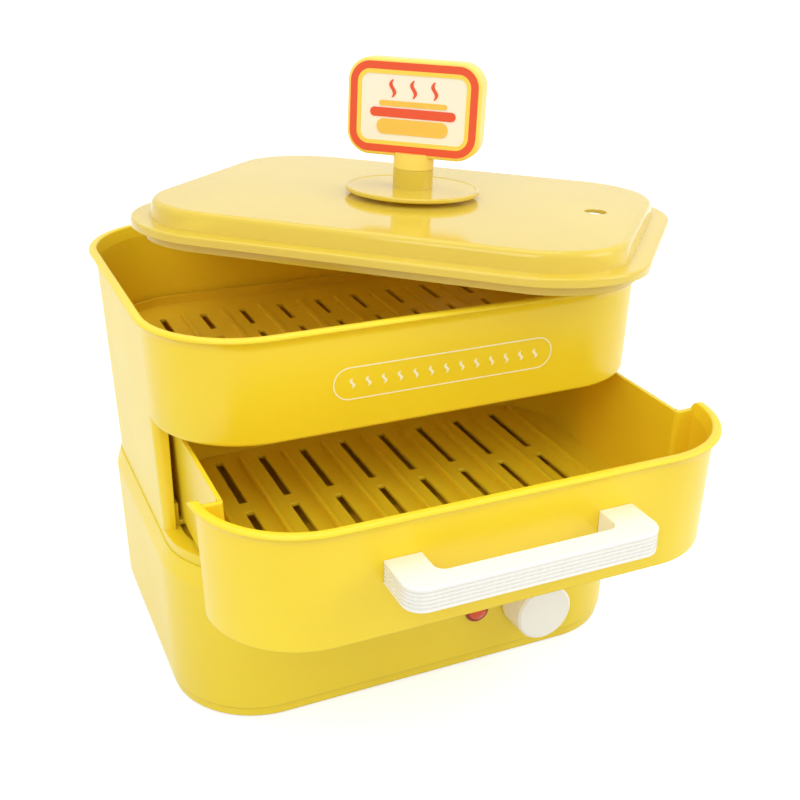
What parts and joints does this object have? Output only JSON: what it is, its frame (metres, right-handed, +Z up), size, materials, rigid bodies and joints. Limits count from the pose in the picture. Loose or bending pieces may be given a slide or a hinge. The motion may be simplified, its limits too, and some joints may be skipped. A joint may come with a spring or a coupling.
{
  "type": "hot dog steamer",
  "caption": "Counter-top hot dog steamer with a heated base, a sliding steaming drawer, a bun compartment and a lift-off lid that carries a small sign.",
  "frame": {"origin": "middle of the base's footprint, on the surface the feet stand on", "axes": "+Z up; the drawer and the dial face -Y; +X is to the right seen from the front"},
  "size_m": [0.2898, 0.3293, 0.2805],
  "materials": {
    "yellow_plastic": "glossy yellow moulding",
    "amber_plastic": "glossy amber moulding",
    "clear_yellow": "translucent yellow moulding",
    "cream_plastic": "satin cream moulding",
    "black_plastic": "matt",
    "red_plastic": "glossy dark red",
    "lens_red": "translucent orange-red",
    "rubber": "matt",
    "aluminium": "spun",
    "steel": "plated",
    "brass": "plain"
  },
  "bodies": {
    "base": {"base_shell": "yellow_plastic", "bottom_cover": "yellow_plastic", "rubber_feet": "rubber", "cover_screws": "steel", "water_tank": "aluminium", "heater_gasket": "rubber", "heater_plate": "aluminium", "heating_element": "steel", "heater_bracket": "steel", "bracket_nuts": "steel", "thermostat": "steel", "thermal_fuse": "steel", "timer_case": "steel", "timer_screws": "steel", "timer_bell": "steel", "indicator_bezel": "red_plastic", "indicator_lens": "lens_red", "indicator_lamp": "lens_red", "lamp_holder": "black_plastic", "cord_gland": "black_plastic", "terminal_block": "black_plastic", "terminal_screws": "brass", "drip_tray": "amber_plastic"},
    "dial": {"dial_knob": "cream_plastic", "dial_shaft": "steel"},
    "housing": {"housing": "yellow_plastic", "bun_tray": "amber_plastic"},
    "drawer": {"drawer_tray": "yellow_plastic", "handle": "cream_plastic", "handle_screws": "steel"},
    "lid": {"lid": "clear_yellow", "lid_collar": "clear_yellow", "sign_body": "yellow_plastic", "sign_panel": "cream_plastic", "lid_washer": "rubber", "lid_screw": "steel"}
  },
  "joints": [
    {"name": "housing_lift", "type": "slide", "parent": "base", "child": "housing", "axis": [0, 0, 1], "range_m": [0, 0.06]},
    {"name": "drawer_slide", "type": "slide", "parent": "housing", "child": "drawer", "axis": [0, -1, 0], "range_m": [-0.0723, 0.055]},
    {"name": "lid_lift", "type": "slide", "parent": "housing", "child": "lid", "axis": [0, 0, 1], "range_m": [0, 0.1]},
    {"name": "dial_turn", "type": "hinge", "parent": "base", "child": "dial", "pos_m": [0.0535, -0.1, 0.0325], "axis": [0, -1, 0], "range_deg": [0, 300]}
  ]
}
